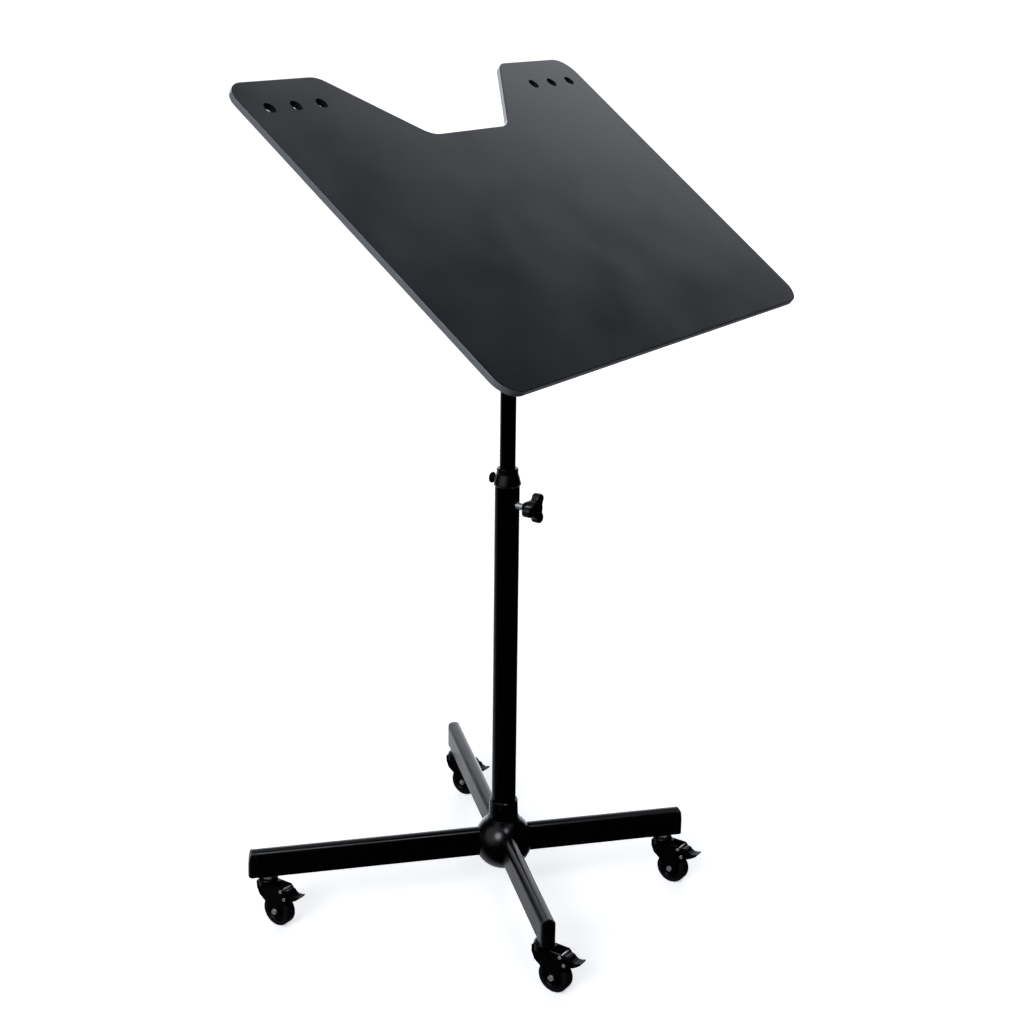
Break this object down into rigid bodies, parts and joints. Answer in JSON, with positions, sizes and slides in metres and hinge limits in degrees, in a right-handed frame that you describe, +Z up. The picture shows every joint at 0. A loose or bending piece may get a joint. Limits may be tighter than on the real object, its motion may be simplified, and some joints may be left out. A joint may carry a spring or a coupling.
{
  "type": "presentation lectern",
  "caption": "Mobile lectern: a tilting notched board on a telescopic, swivelling post with clamp knobs, over a cross base of arched tubes on braked swivel castors.",
  "frame": {"origin": "on the floor, under the middle of the bounding box; the post's axis is 12.55 mm from it on the user's side", "axes": "+X along the board's width, +Y away from the user towards the raised, notched edge, +Z up"},
  "size_m": [0.713, 0.5151, 1.1489],
  "materials": {
    "board": "satin charcoal, fine-grained",
    "black_paint": "gloss black powder coat",
    "black_plastic": "moulded black, half-matt",
    "chrome": "bright plated",
    "zinc_steel": "bright zinc",
    "tyre": "plain dark band"
  },
  "bodies": {
    "base": {"post_socket": "black_paint", "socket_screw": "zinc_steel", "hub_ball": "black_paint", "tie_bolt": "zinc_steel", "hub_plug": "black_plastic", "outer_tube": "black_paint", "tube_sleeve": "black_plastic", "leg_back_left": "black_paint", "cap_back_left": "black_plastic", "stem_back_left": "zinc_steel", "leg_back_right": "black_paint", "cap_back_right": "black_plastic", "stem_back_right": "zinc_steel", "leg_front_right": "black_paint", "cap_front_right": "black_plastic", "stem_front_right": "zinc_steel", "leg_front_left": "black_paint", "cap_front_left": "black_plastic", "stem_front_left": "zinc_steel"},
    "height_knob": {"height_knob": "black_plastic", "knob_stud": "chrome"},
    "collar": {"stop_collar": "black_paint"},
    "collar_thumbscrew": {"collar_thumbscrew": "black_plastic"},
    "mast": {"inner_tube": "black_paint", "tube_glide": "black_plastic", "tilt_head": "black_paint", "head_pin": "zinc_steel"},
    "desk": {"desk_board": "board", "tilt_bracket": "black_paint", "washer_left": "black_plastic", "washer_right": "black_plastic", "pivot_bolt": "zinc_steel"},
    "tilt_knob": {"tilt_knob": "black_plastic"},
    "castor_back_left": {"fork_back_left": "black_paint", "axle_back_left": "chrome", "brake_pins_back_left": "chrome"},
    "brake_back_left": {"pedal_back_left": "black_plastic"},
    "wheel_back_left": {"wheel_back_left": "black_plastic", "tyre_back_left": "tyre"},
    "castor_back_right": {"fork_back_right": "black_paint", "axle_back_right": "chrome", "brake_pins_back_right": "chrome"},
    "brake_back_right": {"pedal_back_right": "black_plastic"},
    "wheel_back_right": {"wheel_back_right": "black_plastic", "tyre_back_right": "tyre"},
    "castor_front_right": {"fork_front_right": "black_paint", "axle_front_right": "chrome", "brake_pins_front_right": "chrome"},
    "brake_front_right": {"pedal_front_right": "black_plastic"},
    "wheel_front_right": {"wheel_front_right": "black_plastic", "tyre_front_right": "tyre"},
    "castor_front_left": {"fork_front_left": "black_paint", "axle_front_left": "chrome", "brake_pins_front_left": "chrome"},
    "brake_front_left": {"pedal_front_left": "black_plastic"},
    "wheel_front_left": {"wheel_front_left": "black_plastic", "tyre_front_left": "tyre"}
  },
  "joints": [
    {"name": "height_knob_turn", "type": "hinge", "parent": "base", "child": "height_knob", "pos_m": [0, -0.01255, 0.5905], "axis": [0, -1, 0], "continuous": true},
    {"name": "desk_swivel", "type": "hinge", "parent": "base", "child": "collar", "pos_m": [0, -0.01255, 0.6164], "axis": [0, 0, 1], "continuous": true},
    {"name": "thumbscrew_turn", "type": "hinge", "parent": "collar", "child": "collar_thumbscrew", "pos_m": [0, -0.01255, 0.623], "axis": [0, 1, 0], "continuous": true},
    {"name": "desk_height", "type": "slide", "parent": "collar", "child": "mast", "axis": [0, 0, 1], "range_m": [-0.265, 0.07]},
    {"name": "desk_tilt", "type": "hinge", "parent": "mast", "child": "desk", "pos_m": [0, -0.01255, 0.985], "axis": [1, 0, 0], "range_deg": [-37.25, 15]},
    {"name": "tilt_knob_turn", "type": "hinge", "parent": "desk", "child": "tilt_knob", "pos_m": [0, -0.01255, 0.985], "axis": [1, 0, 0], "continuous": true},
    {"name": "castor_swivel_back_left", "type": "hinge", "parent": "base", "child": "castor_back_left", "pos_m": [-0.24718, 0.21356, 0.067], "axis": [0, 0, 1], "continuous": true},
    {"name": "wheel_spin_back_left", "type": "hinge", "parent": "castor_back_left", "child": "wheel_back_left", "pos_m": [-0.24718, 0.19456, 0.0225], "axis": [1, 0, 0], "continuous": true},
    {"name": "brake_press_back_left", "type": "hinge", "parent": "castor_back_left", "child": "brake_back_left", "pos_m": [-0.24718, 0.17606, 0.0475], "axis": [1, 0, 0], "range_deg": [0, 16]},
    {"name": "castor_swivel_back_right", "type": "hinge", "parent": "base", "child": "castor_back_right", "pos_m": [0.22611, 0.23464, 0.067], "axis": [0, 0, 1], "continuous": true},
    {"name": "wheel_spin_back_right", "type": "hinge", "parent": "castor_back_right", "child": "wheel_back_right", "pos_m": [0.22611, 0.21563, 0.0225], "axis": [1, 0, 0], "continuous": true},
    {"name": "brake_press_back_right", "type": "hinge", "parent": "castor_back_right", "child": "brake_back_right", "pos_m": [0.22611, 0.19714, 0.0475], "axis": [1, 0, 0], "range_deg": [0, 16]},
    {"name": "castor_swivel_front_right", "type": "hinge", "parent": "base", "child": "castor_front_right", "pos_m": [0.17709, -0.17454, 0.067], "axis": [0, 0, 1], "continuous": true},
    {"name": "wheel_spin_front_right", "type": "hinge", "parent": "castor_front_right", "child": "wheel_front_right", "pos_m": [0.17709, -0.19354, 0.0225], "axis": [1, 0, 0], "continuous": true},
    {"name": "brake_press_front_right", "type": "hinge", "parent": "castor_front_right", "child": "brake_front_right", "pos_m": [0.17709, -0.21204, 0.0475], "axis": [1, 0, 0], "range_deg": [0, 16]},
    {"name": "castor_swivel_front_left", "type": "hinge", "parent": "base", "child": "castor_front_left", "pos_m": [-0.16199, -0.18964, 0.067], "axis": [0, 0, 1], "continuous": true},
    {"name": "wheel_spin_front_left", "type": "hinge", "parent": "castor_front_left", "child": "wheel_front_left", "pos_m": [-0.16199, -0.20864, 0.0225], "axis": [1, 0, 0], "continuous": true},
    {"name": "brake_press_front_left", "type": "hinge", "parent": "castor_front_left", "child": "brake_front_left", "pos_m": [-0.16199, -0.22714, 0.0475], "axis": [1, 0, 0], "range_deg": [0, 16]}
  ]
}
